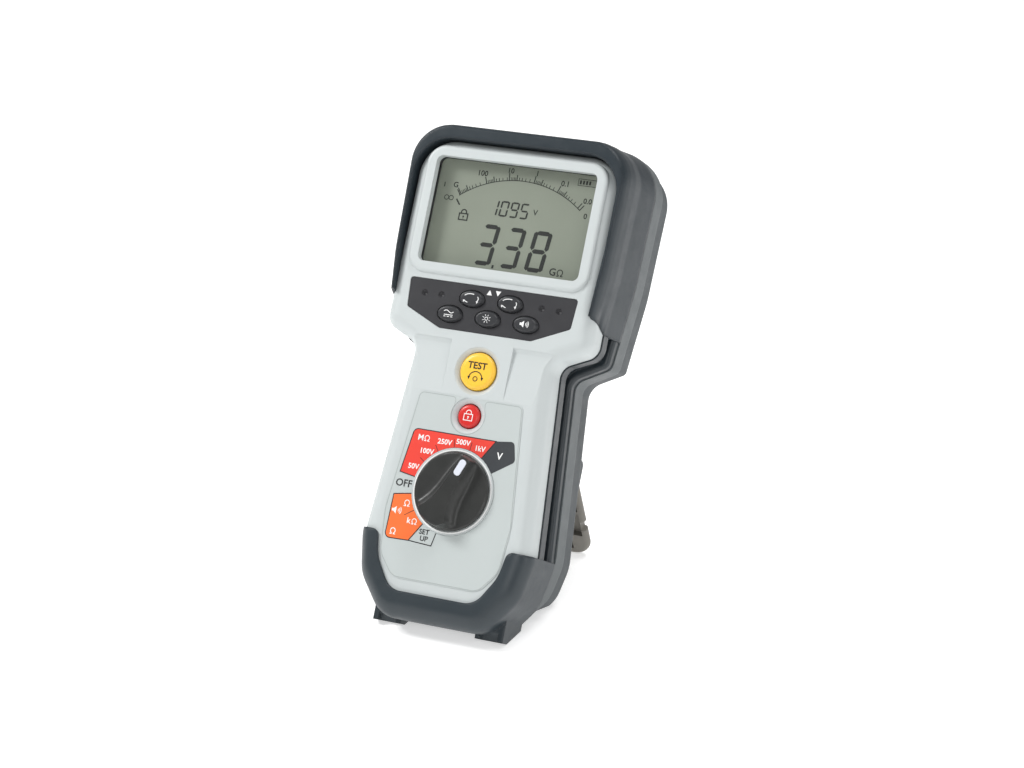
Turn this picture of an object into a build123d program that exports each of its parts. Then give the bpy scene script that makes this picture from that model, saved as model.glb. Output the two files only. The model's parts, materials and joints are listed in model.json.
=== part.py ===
from build123d import *
import math
import os

# Hand-held insulation resistance tester, leaning back on its rear stand.
# Everything is drawn in the instrument's own directions: x across it, y up it towards the display,
# and z out of its face. The label face is z = 0 and the selector's axis is x = y = 0.
# At the end the whole instrument is leaned back and stood on the ground plane.
# Lengths are millimetres and angles are degrees.

# ---- driving dimensions ----
LEAN = 28.0                # lean of the face from upright
STAND_LEAN = 23.5          # lean of the open stand from upright, the other way
GROUND = -63.0             # height of the ground plane, measured along the upright
BEVEL = 1.2                # the bottom end stays this far above the ground, apart from the feet

HOOD_LIP_Z = 2.4
HOOD_WAIST_Z = -16.0       # the hood's side leans in from here to the lip
HOOD_WAIST_INSET = 1.7
HOOD_LIP_INSET = 4.4
STEP_Z = -14.0             # the light case steps in to the side grips here
PARTING_Z = -32.0          # front half ends, rear half starts
RIM_BACK_Z = -43.0
BACK_Z = -60.0
WALL = 2.4
SEAL_THICK = 0.4
GRIP_TOP_Y = 81.0          # hood above, grips below
GRIP_BOTTOM_Y = -22.0      # grips above, bumper below

# Corners down the right side as (x, y, radius). The left side mirrors them.
RUBBER_TOP = [(56.2, 168.0, 21.0), (54.7, 105.0, 80.0), (51.0, 68.3, 5.0), (35.2, 59.8, 6.0)]
RUBBER_OUTLINE = RUBBER_TOP + [(42.3, -24.0, 25.0), (38.8, -42.5, 20.0), (25.5, -59.8, 14.0)]
REAR_OUTLINE = RUBBER_TOP + [(42.3, -22.0, 25.0), (38.8, -38.0, 20.0), (25.5, -53.5, 12.0)]
CASE_OUTLINE = [
    (49.6, 158.4, 17.0),
    (50.4, 71.0, 7.0),
    (33.8, 63.6, 7.0),
    (40.6, -24.0, 25.0),
    (36.6, -41.0, 20.0),
    (24.0, -56.8, 12.0),
]
HOOD_WINDOW = [(49.9, 158.4, 17.0), (49.9, 118.0, 80.0), (46.6, 60.0, 0.0)]
BUMPER_WINDOW = [
    (60.0, 0.0, 0.0),
    (60.0, GRIP_BOTTOM_Y, 0.0),
    (31.9, GRIP_BOTTOM_Y, 3.5),
    (29.6, -34.0, 20.0),
    (21.0, -47.5, 10.0),
]
LABEL_OUTLINE = [(25.4, 42.6, 2.5), (31.2, -12.0, 60.0), (29.4, -32.0, 14.0), (21.5, -42.0, 9.0)]
KEYPAD_OUTLINE = [(41.3, 93.4, 1.5), (40.3, 79.6, 1.5), (22.6, 71.8, 1.5)]

RUBBER_LOWER_INSET = 4.8   # the case inside the rubber, below the step
INNER_LOWER_INSET = 7.0
REAR_INSET = 5.0           # the rear case inside its rim
BACK_INSET = 2.6           # the rear case behind the rim
EDGE_ROUND = 6.4
BUMPER_ROUND = 8.5
BUMPER_Z = 1.1
RIDGE_LOW_Z = -20.0        # a ridge runs along each grip, above a groove
BAND_TOP_Z = -26.5         # and a band below the groove
SPINE_HALF_WIDTH = 15.2      # the raised middle between the keys and the label
FLAT_DEPTH = 1.2

DISPLAY_Y = 125.55
DISPLAY_SIZE = (79.0, 49.1)
KEY_CENTRES = {
    "upper_left_key": (-9.4, 86.9),
    "upper_right_key": (9.4, 86.9),
    "lower_left_key": (-18.7, 78.8),
    "lower_middle_key": (0.0, 78.8),
    "lower_right_key": (18.7, 78.8),
}
KEY_SIZE = (12.4, 7.6)     # an oval key where it meets the panel
KEY_TOP_SIZE = (10.2, 6.2)
KEY_TOP_Z = 1.5
KEY_HOLE = (13.0, 8.2)
KEY_FLANGE = (14.4, 9.6)
KEY_TRAVEL = 0.8
PANEL_Z = -0.2             # top of the keypad panel
PANEL_DEPTH = 1.0
TEST_Y = 55.0
TEST_RADIUS = 8.6
LOCK_Y = 34.6
LOCK_RADIUS = 5.4
BUTTON_GAP = 0.35
BUTTON_TRAVEL = 1.5
SWITCH_TOP_Z = -11.2
DIMPLES = [(24.7, 87.0), (33.0, 86.8)]
DIMPLE_RADIUS = 1.5

KNOB_RADIUS = 17.8
SELECTOR_TURN = -22.5      # the selector rests at its highest test voltage, this far from straight up
KNOB_BASE_Z = 1.0
KNOB_DISC_Z = 2.9
KNOB_TOP_Z = 7.6
# Half widths of the knob's ridge at its top and at its foot, as (y, top, foot), from the pointer end down.
RIDGE_WIDTHS = [
    (17.6, 2.4, 3.9),
    (10.0, 2.9, 6.2),
    (4.0, 2.9, 7.2),
    (-1.0, 3.2, 7.7),
    (-6.0, 4.2, 8.9),
    (-10.0, 5.6, 10.6),
    (-17.6, 10.6, 16.4),
]
POINTER_SIZE = (3.3, 7.7)
POINTER_Y = 11.5
POINTER_DEPTH = 1.2
RING_WIDTH = 1.9           # the raised ring round the knob
SPINDLE_RADIUS = 3.0
SPINDLE_TOP_Z = 5.6

HINGE_Y = 35.0
HINGE_Z = -57.5
HINGE_PIN_RADIUS = 1.5
STAND_HALF_WIDTH = 27.5
STAND_THICK = 4.4
STAND_FOOT_ROUND = STAND_THICK / 2

SOCKET_XS = (-19.0, 0.0, 19.0)
SOCKET_Z = -49.4
SOCKET_FACE_Y = 165.2
SOCKET_BORE_RADIUS = 2.0
SOCKET_BORE_LENGTH = 18.0

CELL_RADIUS = 7.1
CELL_LENGTH = 49.2
CELL_PITCH = 14.7
CELL_COUNT = 5
CELL_FIRST_Y = -34.0
CELL_Z = -44.6

BOARD_TOP_Z = -13.4
BOARD_THICK = 1.6
POWER_BOARD_Z = -38.4

BOSS_RADIUS = 3.4
PILOT_RADIUS = 1.3
CASE_SCREWS = [(46.0, 151.5), (43.0, 88.0), (23.5, 47.5)]
BOARD_SCREWS = [(38.0, 92.0), (22.0, -33.0)]
COVER_SCREW = (31.8, 14.0)

# ---- values worked out from them ----
UP_Y = math.cos(math.radians(LEAN))
UP_Z = math.sin(math.radians(LEAN))
STAND_OPEN = LEAN + STAND_LEAN
HINGE_HEIGHT = HINGE_Y * UP_Y + HINGE_Z * UP_Z
STAND_REACH = (HINGE_HEIGHT - GROUND - STAND_FOOT_ROUND) / math.cos(math.radians(STAND_LEAN))


def outline(corners, inset=0.0):
    """A face symmetric about x = 0, pulled in by inset."""
    right = [(x, y) for x, y, _ in corners]
    left = [(-x, y) for x, y, _ in reversed(corners)]
    radii = [radius for _, _, radius in corners]
    face = make_face(FilletPolyline(*right, *left, radius=radii + radii[::-1], close=True))
    return offset(face, -inset, kind=Kind.ARC) if inset else face


def slab(face, low, high):
    """The face pulled along z from low to high."""
    return extrude(Pos(0, 0, low) * face, high - low, dir=(0, 0, 1))


def drafted(low_face, high_face, low, high):
    """A straight-sided solid from low_face up to high_face."""
    return loft([Pos(0, 0, low) * low_face, Pos(0, 0, high) * high_face], ruled=True)


def block(x_range, y_range, z_range):
    """A box given by its limits."""
    size = [high - low for low, high in (x_range, y_range, z_range)]
    centre = [(high + low) / 2 for low, high in (x_range, y_range, z_range)]
    return Pos(*centre) * Box(*size)


def post(x, y, radius, low, high):
    """A round post along z."""
    return Pos(x, y, (low + high) / 2) * Cylinder(radius, high - low)


def rod_x(x_low, x_high, y, z, radius):
    """A round rod along x."""
    return Pos((x_low + x_high) / 2, y, z) * Rot(0, 90, 0) * Cylinder(radius, x_high - x_low)


def rod_y(x, y_low, y_high, z, radius):
    """A round rod along y."""
    return Pos(x, (y_low + y_high) / 2, z) * Rot(90, 0, 0) * Cylinder(radius, y_high - y_low)


def above_ground(shape, clearance):
    """The part of a shape that is at least clearance above the ground plane."""
    span = 400.0
    keep = Rot(LEAN - 90, 0, 0) * Pos(0, 0, GROUND + clearance + span / 2) * Box(span, span, span)
    return shape & keep


def between_y(shape, low, high):
    """The part of a shape from y = low to y = high."""
    return shape & block((-200, 200), (low, high), (-200, 200))


def mirrored_points(points):
    """Each point on both sides of x = 0."""
    return [(side * x, y) for x, y in points for side in (-1, 1)]


# ---- front half ----
def case_blank():
    """The light case as a solid lump, before it is hollowed."""
    upper = slab(outline(CASE_OUTLINE), STEP_Z, 0)
    upper = fillet(upper.edges().group_by(Axis.Z)[-1], EDGE_ROUND)
    lower = slab(outline(RUBBER_OUTLINE, RUBBER_LOWER_INSET), PARTING_Z, STEP_Z)
    return above_ground(upper + lower, BEVEL + 2.6)


def case_hollow():
    """The space inside the front half."""
    upper_face = outline(CASE_OUTLINE, WALL)
    lower_face = outline(RUBBER_OUTLINE, INNER_LOWER_INSET)
    ledge_z = STEP_Z + 2.0
    upper = slab(upper_face, ledge_z, -WALL)
    upper = fillet(upper.edges().group_by(Axis.Z)[-1], 3.6)
    ledge = slab(upper_face, STEP_Z, ledge_z) & slab(lower_face, STEP_Z, ledge_z)
    lower = slab(lower_face, PARTING_Z, STEP_Z)
    return above_ground(upper + ledge + lower, BEVEL + 5.0)


def rounded_window(width, height, centre_y, radius, low, high):
    """A rounded rectangle prism centred on x = 0."""
    face = Pos(0, centre_y) * RectangleRounded(width, height, radius)
    return slab(face, low, high)


def oval(centre, size):
    """An oval face of this width and height."""
    return Pos(*centre) * Ellipse(size[0] / 2, size[1] / 2)


def shoulder_flat(side):
    """The wedge cut away beside the spine, deepest under the head."""
    side_view = Polyline((43.5, 0.0), (43.5, 3.0), (71.0, 3.0), (66.5, -FLAT_DEPTH), close=True)
    wedge = extrude(Plane.YZ * make_face(side_view), 60.0)
    low_edge = [e for e in wedge.edges().filter_by(Axis.X) if abs(e.center().Y - 66.5) < 0.1]
    wedge = fillet(low_edge, 2.5)
    wedge = Pos(SPINE_HALF_WIDTH, 0, 0) * wedge
    return wedge if side > 0 else mirror(wedge, Plane.YZ)


def front_case():
    width, height = DISPLAY_SIZE
    bead_top = 1.3
    dish_width, dish_depth = 2.05, 1.6
    ring_z, collar_z = 0.7, 0.2
    shell = case_blank() - case_hollow()
    bead = rounded_window(width + 10.4, height + 10.4, DISPLAY_Y, 9.0, -1.0, bead_top)
    bead = fillet(bead.edges().group_by(Axis.Z)[-1], 1.8)
    shell += bead
    shell -= rounded_window(width, height, DISPLAY_Y, 3.0, -WALL - 1, bead_top + 1)
    for side in (-1, 1):
        shell -= shoulder_flat(side)
    shell -= slab(outline(KEYPAD_OUTLINE), -PANEL_DEPTH, 1.0)
    for centre in KEY_CENTRES.values():
        shell -= slab(oval(centre, KEY_HOLE), -WALL - 1, 1.0)
    for x, y in mirrored_points(DIMPLES):
        shell -= post(x, y, DIMPLE_RADIUS, -PANEL_DEPTH - 0.8, 1.0)
    for y, radius in ((TEST_Y, TEST_RADIUS), (LOCK_Y, LOCK_RADIUS)):
        hole = radius + BUTTON_GAP
        shell -= post(0, y, hole, -WALL - 1, 1.0)
        dish = Cone(hole, hole + dish_width, dish_depth, align=(Align.CENTER, Align.CENTER, Align.MAX))
        shell -= Pos(0, y, 0) * dish
    ring_inner = KNOB_RADIUS + 0.4
    shell += post(0, 0, KNOB_RADIUS + RING_WIDTH, -0.5, ring_z) - post(0, 0, ring_inner, collar_z, ring_z + 0.1)
    collar_radius = SPINDLE_RADIUS + 1.9
    shell -= post(0, 0, collar_radius, -WALL - 1, 1.5)
    shell += post(0, 0, collar_radius, -WALL, collar_z) - post(0, 0, SPINDLE_RADIUS + 0.06, -WALL, collar_z)
    bosses = []
    for x, y in mirrored_points(CASE_SCREWS):
        pilot = post(x, y, PILOT_RADIUS, PARTING_Z, -18.0)
        bosses.append(post(x, y, BOSS_RADIUS, PARTING_Z + 0.5, -2.0) - pilot)
    for x, y in mirrored_points(BOARD_SCREWS):
        bosses.append(post(x, y, 2.6, BOARD_TOP_Z, -2.0) - post(x, y, 1.05, BOARD_TOP_Z - 1, -5.0))
    for boss in bosses:
        shell += boss & case_blank()
    return shell


def hood_side_view():
    """The hood's extent seen from the side, with its lower front corner rounded off."""
    far = 200.0
    corner = (GRIP_TOP_Y + 5.5, 0.5)
    view = Polyline(
        (far, far),
        (corner[0] + 1.5, far),
        corner,
        (GRIP_TOP_Y, STEP_Z),
        (GRIP_TOP_Y, PARTING_Z),
        (far, PARTING_Z),
        close=True,
    )
    prism = extrude(Plane.YZ * make_face(view), far, both=True)
    lower_corner = [e for e in prism.edges().filter_by(Axis.X) if abs(e.center().Y - corner[0]) < 0.1]
    return fillet(lower_corner, 5.0)


def hood():
    levels = [(PARTING_Z, 0.0)]
    for turn in (0, 20, 40, 55, 70, 90):
        rise = (HOOD_LIP_Z - HOOD_WAIST_Z) * math.sin(math.radians(turn))
        lean_in = (HOOD_LIP_INSET - HOOD_WAIST_INSET) * (1 - math.cos(math.radians(turn)))
        levels.append((HOOD_WAIST_Z + rise, HOOD_WAIST_INSET + lean_in))
    side_view = hood_side_view()
    shape = None
    for (low, low_inset), (high, high_inset) in zip(levels, levels[1:]):
        layer = drafted(outline(RUBBER_OUTLINE, low_inset), outline(RUBBER_OUTLINE, high_inset), low, high)
        shape = layer & side_view if shape is None else shape + (layer & side_view)
    shape -= slab(outline(HOOD_WINDOW), -EDGE_ROUND, 10)
    return shape - case_blank()


def lug(side):
    """One front foot: a block with a scooped face between two end ribs."""
    inner_x, outer_x = 18.5, 32.0
    foot = block((inner_x, outer_x), (-61.6, -48.0), (PARTING_Z, -13.0))
    scoop = rod_x(inner_x + 2.2, outer_x - 2.6, -64.0, -9.0, 7.6)
    foot = above_ground(foot - scoop, 0.0)
    return foot if side > 0 else mirror(foot, Plane.YZ)


def bumper():
    spare = 12.0
    shape = slab(outline(RUBBER_OUTLINE), PARTING_Z, BUMPER_Z)
    shape = between_y(shape, -100, GRIP_BOTTOM_Y + spare)
    front_edges = [e for e in shape.edges().group_by(Axis.Z)[-1] if e.center().Y < GRIP_BOTTOM_Y + spare - 1]
    shape = fillet(front_edges, BUMPER_ROUND)
    shape = between_y(shape, -100, GRIP_BOTTOM_Y)
    shape = above_ground(shape, BEVEL)
    for side in (-1, 1):
        shape += lug(side)
    shape -= case_blank()
    shape -= slab(outline(BUMPER_WINDOW), -25, 5)
    return above_ground(shape, 0.0)


def grips():
    """The right side grip: a ridge under the step, a groove, then a band against the rim."""
    ridge = slab(outline(CASE_OUTLINE, -0.6), RIDGE_LOW_Z, STEP_Z - 0.4)
    groove = slab(outline(RUBBER_OUTLINE, 4.2), BAND_TOP_Z, RIDGE_LOW_Z)
    band = slab(outline(RUBBER_OUTLINE, 0.5), PARTING_Z, BAND_TOP_Z)
    shape = ridge + groove + fillet(band.edges().group_by(Axis.Z)[-1], 2.0)
    shape -= slab(outline(RUBBER_OUTLINE, RUBBER_LOWER_INSET), PARTING_Z - 1, STEP_Z)
    shape = between_y(shape, GRIP_BOTTOM_Y, GRIP_TOP_Y)
    return shape & block((0, 100), (-100, 200), (-100, 10))


# ---- rear half ----
def rear_blank():
    low = slab(outline(REAR_OUTLINE, BACK_INSET), BACK_Z, RIM_BACK_Z)
    low = fillet(low.edges().group_by(Axis.Z)[0], 4.5)
    high = slab(outline(REAR_OUTLINE, REAR_INSET), RIM_BACK_Z, PARTING_Z - SEAL_THICK)
    return above_ground(low + high, BEVEL)


def rear_hollow():
    low = slab(outline(REAR_OUTLINE, BACK_INSET + WALL), BACK_Z + WALL, RIM_BACK_Z - WALL)
    low = fillet(low.edges().group_by(Axis.Z)[0], 1.8)
    high = slab(outline(REAR_OUTLINE, INNER_LOWER_INSET), RIM_BACK_Z - WALL, PARTING_Z)
    return above_ground(low + high, BEVEL + WALL)


def rear_rim():
    ring = slab(outline(REAR_OUTLINE), RIM_BACK_Z, PARTING_Z)
    ring = fillet(ring.edges().group_by(Axis.Z)[0], 1.8)
    ring -= slab(outline(REAR_OUTLINE, REAR_INSET), RIM_BACK_Z, PARTING_Z)
    return above_ground(ring, BEVEL)


def cover_face(clearance=0.0):
    """The battery cover's outline. It runs out through the bevelled bottom end."""
    corners = [(35.2, 29.5, 4.0), (35.2, -20.0, 20.0), (30.5, -50.0, 2.0)]
    return outline(corners, -clearance)


COVER_INNER_Z = -53.4
RECESS_FLOOR_Z = -55.0
RECESS_HALF_WIDTH = STAND_HALF_WIDTH + 0.6
POCKET_TOP_Y = HINGE_Y + 4.4
EAR_X = (23.0, 26.6)


def stand_recess():
    """The space that the folded stand lies in."""
    plate = block((-RECESS_HALF_WIDTH, RECESS_HALF_WIDTH), (-80, HINGE_Y), (BACK_Z - 1, RECESS_FLOOR_Z))
    barrel = block((-RECESS_HALF_WIDTH, RECESS_HALF_WIDTH), (HINGE_Y - 5, POCKET_TOP_Y), (BACK_Z - 1, -54.2))
    return plate + barrel


def rear_case():
    shell = rear_blank() - rear_hollow()
    shell += block((-30.5, 30.5), (28.2, POCKET_TOP_Y + 1.6), (BACK_Z, -53.2))
    shell -= slab(cover_face(0.15), BACK_Z - 1, COVER_INNER_Z)
    shell -= stand_recess()
    for side in (-1, 1):
        ear_range = sorted((side * EAR_X[0], side * EAR_X[1]))
        ear = block(ear_range, (HINGE_Y - 2.4, POCKET_TOP_Y), (BACK_Z + 0.2, -54.0))
        ear = fillet(ear.edges().filter_by(Axis.X).sort_by(Axis.Z)[:2], 1.8)
        shell += ear - rod_x(-40, 40, HINGE_Y, HINGE_Z, HINGE_PIN_RADIUS)
    bosses = []
    for x, y in mirrored_points(CASE_SCREWS):
        bosses.append(post(x, y, BOSS_RADIUS, BACK_Z + 1, PARTING_Z + 0.5))
    for side in (-1, 1):
        x, y = side * COVER_SCREW[0], COVER_SCREW[1]
        bosses.append(post(x, y, 2.8, COVER_INNER_Z, PARTING_Z - 6))
    for boss in bosses:
        shell += boss & rear_blank()
    for x, y in mirrored_points(CASE_SCREWS):
        shell -= post(x, y, 3.1, BACK_Z - 1, BACK_Z + 3.2)
        shell -= post(x, y, 1.65, BACK_Z - 1, PARTING_Z + 1)
    for side in (-1, 1):
        shell -= post(side * COVER_SCREW[0], COVER_SCREW[1], 1.1, BACK_Z, COVER_INNER_Z + 9)
    for x in SOCKET_XS:
        shell -= rod_y(x, 150, 180, SOCKET_Z, 5.8)
    return shell


def battery_cover():
    shape = above_ground(slab(cover_face(), BACK_Z, COVER_INNER_Z), BEVEL)
    shape -= stand_recess()
    for side in (-1, 1):
        x, y = side * COVER_SCREW[0], COVER_SCREW[1]
        shape -= post(x, y, 2.5, BACK_Z - 1, BACK_Z + 2.2)
        shape -= post(x, y, 1.5, BACK_Z - 1, COVER_INNER_Z + 1)
    return shape


def case_seal():
    ring = slab(outline(REAR_OUTLINE, 5.2), PARTING_Z - SEAL_THICK, PARTING_Z)
    ring -= slab(outline(REAR_OUTLINE, 6.7), PARTING_Z - SEAL_THICK, PARTING_Z)
    ring = above_ground(ring, BEVEL + 5.2)
    return ring


def screw(x, y, head_z, tip_z, head_radius, shank_radius, head_height):
    """A pan-head screw driven from the back, with a cross slot."""
    head = post(x, y, head_radius, head_z, head_z + head_height)
    head = fillet(head.edges().group_by(Axis.Z)[0], head_height * 0.3)
    shape = head + post(x, y, shank_radius, head_z, tip_z)
    slot = head_radius * 0.55
    slot_z = (head_z - 1, head_z + head_height * 0.5)
    for width, length in ((0.5, slot), (slot, 0.5)):
        shape -= block((x - width, x + width), (y - length, y + length), slot_z)
    return shape


def case_screws():
    return [screw(x, y, BACK_Z + 1.2, -20.0, 2.9, PILOT_RADIUS, 2.0) for x, y in mirrored_points(CASE_SCREWS)]


def battery_cover_screws():
    return [
        screw(side * COVER_SCREW[0], COVER_SCREW[1], BACK_Z + 0.5, COVER_INNER_Z + 7, 2.3, 1.1, 1.7)
        for side in (-1, 1)
    ]


# ---- stand ----
def stand():
    """The folding stand, drawn folded and then swung open about its hinge."""
    half = STAND_HALF_WIDTH
    low_z, high_z = HINGE_Z - STAND_THICK / 2, HINGE_Z + STAND_THICK / 2
    tip_y = HINGE_Y - STAND_REACH - STAND_FOOT_ROUND
    neck_y = HINGE_Y - 6.5
    neck_half = EAR_X[0] - 0.6
    plan = [(neck_half, HINGE_Y, 0.0), (neck_half, neck_y, 1.0), (half, neck_y - 2.0, 2.0), (half, tip_y, 9.0)]
    shape = slab(outline(plan), low_z, high_z)
    tip_edges = [e for e in shape.edges() if e.center().Y < tip_y + 12 and abs(e.tangent_at(0.5).Z) < 0.5]
    shape = fillet(tip_edges, STAND_FOOT_ROUND - 0.02)
    web_z = low_z + 1.3
    rib = 1.0
    cross_ribs = [tip_y + 12.4, tip_y + 28.5, tip_y + 46.0, tip_y + 61.0]
    bottoms = [tip_y + 4.0] + [y + rib for y in cross_ribs[:-1]]
    tops = [y - rib for y in cross_ribs]
    for bottom, top in zip(bottoms, tops):
        narrow = 6.0 if bottom == bottoms[0] else 0.0
        for x_low, x_high in ((-half + 2.4 + narrow, -15.8), (-14.2, 14.2), (15.8, half - 2.4 - narrow)):
            shape -= block((x_low, x_high), (bottom, top), (web_z, high_z + 1))
    for side in (-1, 1):
        notch_x = sorted((side * (half - 2.2), side * (half + 1)))
        shape -= block(notch_x, (tip_y + 17.0, tip_y + 22.6), (low_z - 1, high_z + 1))
    shape += rod_x(-EAR_X[0] + 0.6, EAR_X[0] - 0.6, HINGE_Y, HINGE_Z, 2.5)
    shape -= rod_x(-40, 40, HINGE_Y, HINGE_Z, HINGE_PIN_RADIUS + 0.05)
    hinge = Pos(0, HINGE_Y, HINGE_Z)
    return hinge * Rot(STAND_OPEN, 0, 0) * hinge.inverse() * shape


def stand_hinge_pin():
    return rod_x(-EAR_X[1], EAR_X[1], HINGE_Y, HINGE_Z, HINGE_PIN_RADIUS)


# ---- display ----
def display_lens():
    width, height = DISPLAY_SIZE
    return rounded_window(width + 4, height + 4, DISPLAY_Y, 8.0, -WALL - 1.5, -WALL)


def display_frame():
    width, height = DISPLAY_SIZE
    frame = rounded_window(width + 4, height + 4, DISPLAY_Y, 2.0, -9.6, -WALL - 1.6)
    frame -= rounded_window(width + 0.2, height + 0.2, DISPLAY_Y, 3.0, -10, -WALL)
    frame -= rounded_window(width + 2.4, height + 2.4, DISPLAY_Y, 1.0, -10, -WALL - 2.6)
    return frame


def display_glass():
    width, height = DISPLAY_SIZE
    return rounded_window(width + 2.0, height + 2.0, DISPLAY_Y, 0.8, -6.8, -WALL - 2.7)


def light_guide():
    width, height = DISPLAY_SIZE
    return rounded_window(width - 5, height - 9, DISPLAY_Y, 0.8, -9.4, -6.9)


def contact_strips():
    half_height = DISPLAY_SIZE[1] / 2
    strips = []
    for side in (-1, 1):
        y = DISPLAY_Y + side * (half_height - 2.8)
        strips.append(block((-32, 32), (y - 1.0, y + 1.0), (BOARD_TOP_Z, -6.8)))
    return strips


# ---- keys and buttons ----
def keypad_panel():
    panel = slab(outline(KEYPAD_OUTLINE, 0.1), -PANEL_DEPTH, PANEL_Z)
    for centre in KEY_CENTRES.values():
        panel -= slab(oval(centre, KEY_HOLE), -2, 1)
    for x, y in mirrored_points(DIMPLES):
        panel -= post(x, y, DIMPLE_RADIUS, -2, 1)
    return panel


def key(centre):
    base = oval(centre, KEY_SIZE)
    cap = drafted(base, oval(centre, KEY_TOP_SIZE), PANEL_Z, KEY_TOP_Z)
    cap = fillet(cap.edges().group_by(Axis.Z)[-1], 0.7)
    skirt = slab(base, -4.0, PANEL_Z)
    flange = slab(oval(centre, KEY_FLANGE), -4.4, -WALL - 0.3)
    stem = post(*centre, 2.0, MAT_TOP_Z + KEY_TRAVEL + 0.2, -4.2)
    return cap + skirt + flange + stem


MAT_TOP_Z = -8.2


def key_mat():
    mat = block((-27, 27), (73.2, 92.4), (-9.6, -8.6))
    for x, y in KEY_CENTRES.values():
        mat += post(x, y, 3.0, -8.7, MAT_TOP_Z)
        mat += post(x, y, 1.6, -11.6, -9.5)
    return mat


def key_switches():
    return [post(x, y, 2.6, BOARD_TOP_Z, -12.6) for x, y in KEY_CENTRES.values()]


def push_button(y, radius, top_z, dome):
    skirt = post(0, y, radius, -6.0, top_z)
    skirt = fillet(skirt.edges().group_by(Axis.Z)[-1], dome)
    flange = post(0, y, radius + 1.6, -5.4, -WALL - 1.4)
    stem = post(0, y, 2.4, SWITCH_TOP_Z + BUTTON_TRAVEL + 0.3, -5.8)
    return skirt + flange + stem


def push_switch(y):
    body = block((-3.0, 3.0), (y - 3.0, y + 3.0), (BOARD_TOP_Z, -11.8))
    return body + post(0, y, 1.7, -11.9, SWITCH_TOP_Z)


# ---- selector ----
def turned(shape):
    """The selector's pieces are drawn pointing straight up and then turned to where they rest."""
    return Rot(0, 0, SELECTOR_TURN) * shape


def pointer_slot(low, high):
    """The rounded slot in the ridge that the pointer fills."""
    return slab(Pos(0, POINTER_Y) * RectangleRounded(*POINTER_SIZE, 1.4), low, high)


def ridge_plan(column):
    """The ridge's outline, from one column of its half widths."""
    right = [(row[column], row[0]) for row in RIDGE_WIDTHS]
    left = [(-x, y) for x, y in reversed(right)]
    return make_face(Polyline(*right, *left, close=True))


def knob():
    rim_round = 0.9
    ridge_foot_z = KNOB_DISC_Z - 0.4
    disc = post(0, 0, KNOB_RADIUS, KNOB_BASE_Z, KNOB_DISC_Z)
    disc = fillet(disc.edges().group_by(Axis.Z)[-1], rim_round)
    ridge = drafted(ridge_plan(2), ridge_plan(1), ridge_foot_z, KNOB_TOP_Z)
    end_height = KNOB_TOP_Z - ridge_foot_z
    ends = Cone(KNOB_RADIUS - rim_round, KNOB_RADIUS - 1.6, end_height, align=(Align.CENTER, Align.CENTER, Align.MIN))
    ridge = ridge & (Pos(0, 0, ridge_foot_z) * ends)
    ridge = fillet(ridge.edges().group_by(Axis.Z)[-1], 0.5)
    shape = disc + ridge
    shape -= pointer_slot(KNOB_TOP_Z - POINTER_DEPTH, KNOB_TOP_Z + 1)
    shape -= post(0, 0, SPINDLE_RADIUS, 0, SPINDLE_TOP_Z)
    return turned(shape)


def knob_pointer():
    shape = pointer_slot(KNOB_TOP_Z - POINTER_DEPTH, KNOB_TOP_Z + 0.3)
    return turned(fillet(shape.edges().group_by(Axis.Z)[-1], 0.25))


def selector_spindle():
    return post(0, 0, SPINDLE_RADIUS, -11.0, SPINDLE_TOP_Z)


def spindle_seal():
    ring = post(0, 0, SPINDLE_RADIUS + 1.8, -4.0, -WALL)
    return ring - post(0, 0, SPINDLE_RADIUS + 0.04, -5, 0)


def switch_rotor():
    ring = post(0, 0, 8.5, -9.6, -7.6) - post(0, 0, SPINDLE_RADIUS, -10, -7)
    return ring


def switch_housing():
    body = post(0, 0, 12.0, BOARD_TOP_Z, -6.2)
    body -= post(0, 0, 9.0, -10.2, -5)
    body -= post(0, 0, SPINDLE_RADIUS + 0.3, -12.0, -9)
    return body


def switch_lid():
    return post(0, 0, 12.0, -6.2, -5.2) - post(0, 0, SPINDLE_RADIUS + 0.3, -7, -4)


def label_overlay():
    sheet = slab(outline(LABEL_OUTLINE), 0.0, 0.25)
    sheet -= post(0, 0, KNOB_RADIUS + RING_WIDTH + 0.1, -1, 1)
    sheet -= post(0, LOCK_Y, LOCK_RADIUS + 2.8, -1, 1)
    return sheet


# ---- boards and what is on them ----
def board_plan(head_half, head_low, head_high, waist_half, waist_low):
    """A board with a wide head and a narrow waist."""
    corners = [(head_half, head_high, 2.0), (head_half, head_low, 2.0)]
    corners += [(waist_half, head_low - 4, 2.0), (waist_half, waist_low, 3.0)]
    return outline(corners)


def main_board():
    board = slab(board_plan(40.0, 76.0, 153.5, 26.2, -44.0), BOARD_TOP_Z - BOARD_THICK, BOARD_TOP_Z)
    for x, y in mirrored_points(BOARD_SCREWS):
        board -= post(x, y, 1.25, -20, -10)
    for x, y in mirrored_points(CASE_SCREWS):
        board -= post(x, y, 3.6, -20, -10)
    return above_ground(board, BEVEL + 5.4)


def board_screws():
    low_z = BOARD_TOP_Z - BOARD_THICK
    return [screw(x, y, low_z - 1.6, -7.5, 2.0, 1.05, 1.6) for x, y in mirrored_points(BOARD_SCREWS)]


def power_board():
    plan = Pos(0, 112.0) * RectangleRounded(78.0, 82.0, 2.0)
    board = slab(plan, POWER_BOARD_Z - BOARD_THICK, POWER_BOARD_Z)
    for x, y in mirrored_points(CASE_SCREWS):
        board -= post(x, y, 3.8, -45, -30)
    return board


def board_link():
    """The pin header that joins the two boards."""
    header = block((-12.7, 12.7), (79.0, 84.0), (POWER_BOARD_Z, BOARD_TOP_Z - BOARD_THICK))
    return header


def measuring_chip():
    return block((-7.0, 7.0), (96.0, 110.0), (-16.4, BOARD_TOP_Z - BOARD_THICK))


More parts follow.
